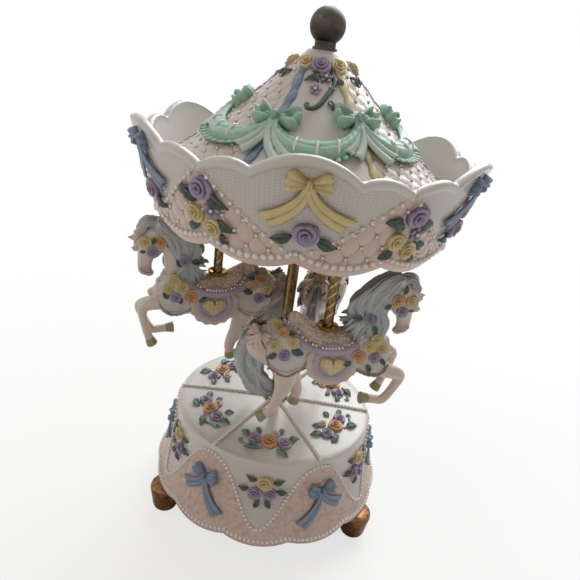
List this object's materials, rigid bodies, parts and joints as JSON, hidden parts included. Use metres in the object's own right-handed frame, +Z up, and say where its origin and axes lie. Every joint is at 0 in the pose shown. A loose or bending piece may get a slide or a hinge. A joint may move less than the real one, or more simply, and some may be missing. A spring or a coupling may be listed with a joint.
{
  "type": "carousel music box",
  "caption": "Wind-up carousel music box: a flower-trimmed canopy turns on a centre post over a round footed base and carries leaping horses on brass poles.",
  "frame": {"origin": "on the table under the centre post, at the middle of the feet's resting plane", "axes": "+Z up along the centre post; -Y towards the viewer and the front panel; +X to the viewer's right"},
  "size_m": [0.1562, 0.1556, 0.2505],
  "materials": {
    "white_glaze": "gloss",
    "pink_bisque": "satin",
    "horse_glaze": "satin",
    "mint": "satin",
    "yellow": "satin",
    "lilac": "satin",
    "blue": "satin",
    "peach": "satin",
    "bronze": "satin metallic",
    "pewter": "satin metallic",
    "brass": "polished",
    "steel": "brushed",
    "spring_steel": "blued",
    "white_plastic": "matte",
    "fibreboard": "plain"
  },
  "bodies": {
    "base": {"base_shell": "white_glaze", "base_cover": "fibreboard", "cover_screws": "steel", "scroll_feet": "bronze", "foot_screws": "steel", "post_collar": "brass", "centre_tube": "brass", "tube_nut": "brass", "cam_disc": "white_plastic", "bedplate": "steel", "bedplate_screws": "steel", "comb": "steel", "comb_screws": "steel", "base_bows": "blue", "base_bouquets": "yellow", "top_bouquets": "peach"},
    "key": {"winding_key": "brass", "winding_arbor": "steel"},
    "cylinder": {"pinned_cylinder": "brass", "cylinder_arbor": "brass"},
    "idler": {"idler_wheel": "brass"},
    "governor": {"governor_fan": "brass"},
    "canopy": {"drive_shaft": "steel", "spring_barrel": "brass", "mainspring": "spring_steel", "canopy_hub": "brass", "crown": "white_glaze", "cone_ring": "white_plastic", "canopy_cone": "pink_bisque", "canopy_floor": "fibreboard", "floor_screws": "steel", "centre_bush": "white_plastic", "pole_bushes": "brass", "guide_posts": "steel", "finial": "pewter", "cone_swags": "mint", "cone_bows": "mint", "cone_roses": "yellow", "crown_bows": "yellow", "crown_bouquets": "lilac", "crown_roses": "lilac"},
    "front_lift": {"front_lifter": "white_plastic"},
    "front_rider": {"front_pole": "brass", "front_clip": "steel", "front_cup": "brass", "front_horse": "horse_glaze"},
    "left_lift": {"left_lifter": "white_plastic"},
    "left_rider": {"left_pole": "brass", "left_clip": "steel", "left_cup": "brass", "left_horse": "horse_glaze"},
    "rear_lift": {"rear_lifter": "white_plastic"},
    "rear_rider": {"rear_pole": "brass", "rear_clip": "steel", "rear_cup": "brass", "rear_horse": "horse_glaze"}
  },
  "joints": [
    {"name": "carousel_spin", "type": "hinge", "parent": "base", "child": "canopy", "pos_m": [0, 0, 0.1635], "axis": [0, 0, 1], "continuous": true},
    {"name": "key_wind", "type": "hinge", "parent": "base", "child": "key", "pos_m": [0, 0, 0.008], "axis": [0, 0, 1], "continuous": true},
    {"name": "cylinder_spin", "type": "hinge", "parent": "base", "child": "cylinder", "pos_m": [0.0184, 0, 0.04032], "axis": [1, 0, 0], "continuous": true},
    {"name": "idler_spin", "type": "hinge", "parent": "base", "child": "idler", "pos_m": [0.04, 0.011, 0.04032], "axis": [1, 0, 0], "continuous": true},
    {"name": "fan_spin", "type": "hinge", "parent": "base", "child": "governor", "pos_m": [0.03, 0.0206, 0.04032], "axis": [1, 0, 0], "continuous": true},
    {"name": "front_rise", "type": "slide", "parent": "canopy", "child": "front_lift", "axis": [0, 0, 1], "range_m": [-0.00004, 0.00736]},
    {"name": "front_swivel", "type": "hinge", "parent": "front_lift", "child": "front_rider", "pos_m": [0.01865, -0.0323, 0.15], "axis": [0, 0, 1], "range_deg": [-57, 45]},
    {"name": "left_rise", "type": "slide", "parent": "canopy", "child": "left_lift", "axis": [0, 0, 1], "range_m": [-0.00509, 0.00231]},
    {"name": "left_swivel", "type": "hinge", "parent": "left_lift", "child": "left_rider", "pos_m": [-0.0373, 0, 0.15], "axis": [0, 0, 1], "range_deg": [-5, 95]},
    {"name": "rear_rise", "type": "slide", "parent": "canopy", "child": "rear_lift", "axis": [0, 0, 1], "range_m": [-0.00598, 0.00142]},
    {"name": "rear_swivel", "type": "hinge", "parent": "rear_lift", "child": "rear_rider", "pos_m": [0.01865, 0.0323, 0.15], "axis": [0, 0, 1], "range_deg": [-5, 95]}
  ],
  "couplings": [
    {"joint": "cylinder_spin", "follows": "carousel_spin", "ratio": 3},
    {"joint": "idler_spin", "follows": "carousel_spin", "ratio": -13.5},
    {"joint": "fan_spin", "follows": "carousel_spin", "ratio": 67.5}
  ]
}
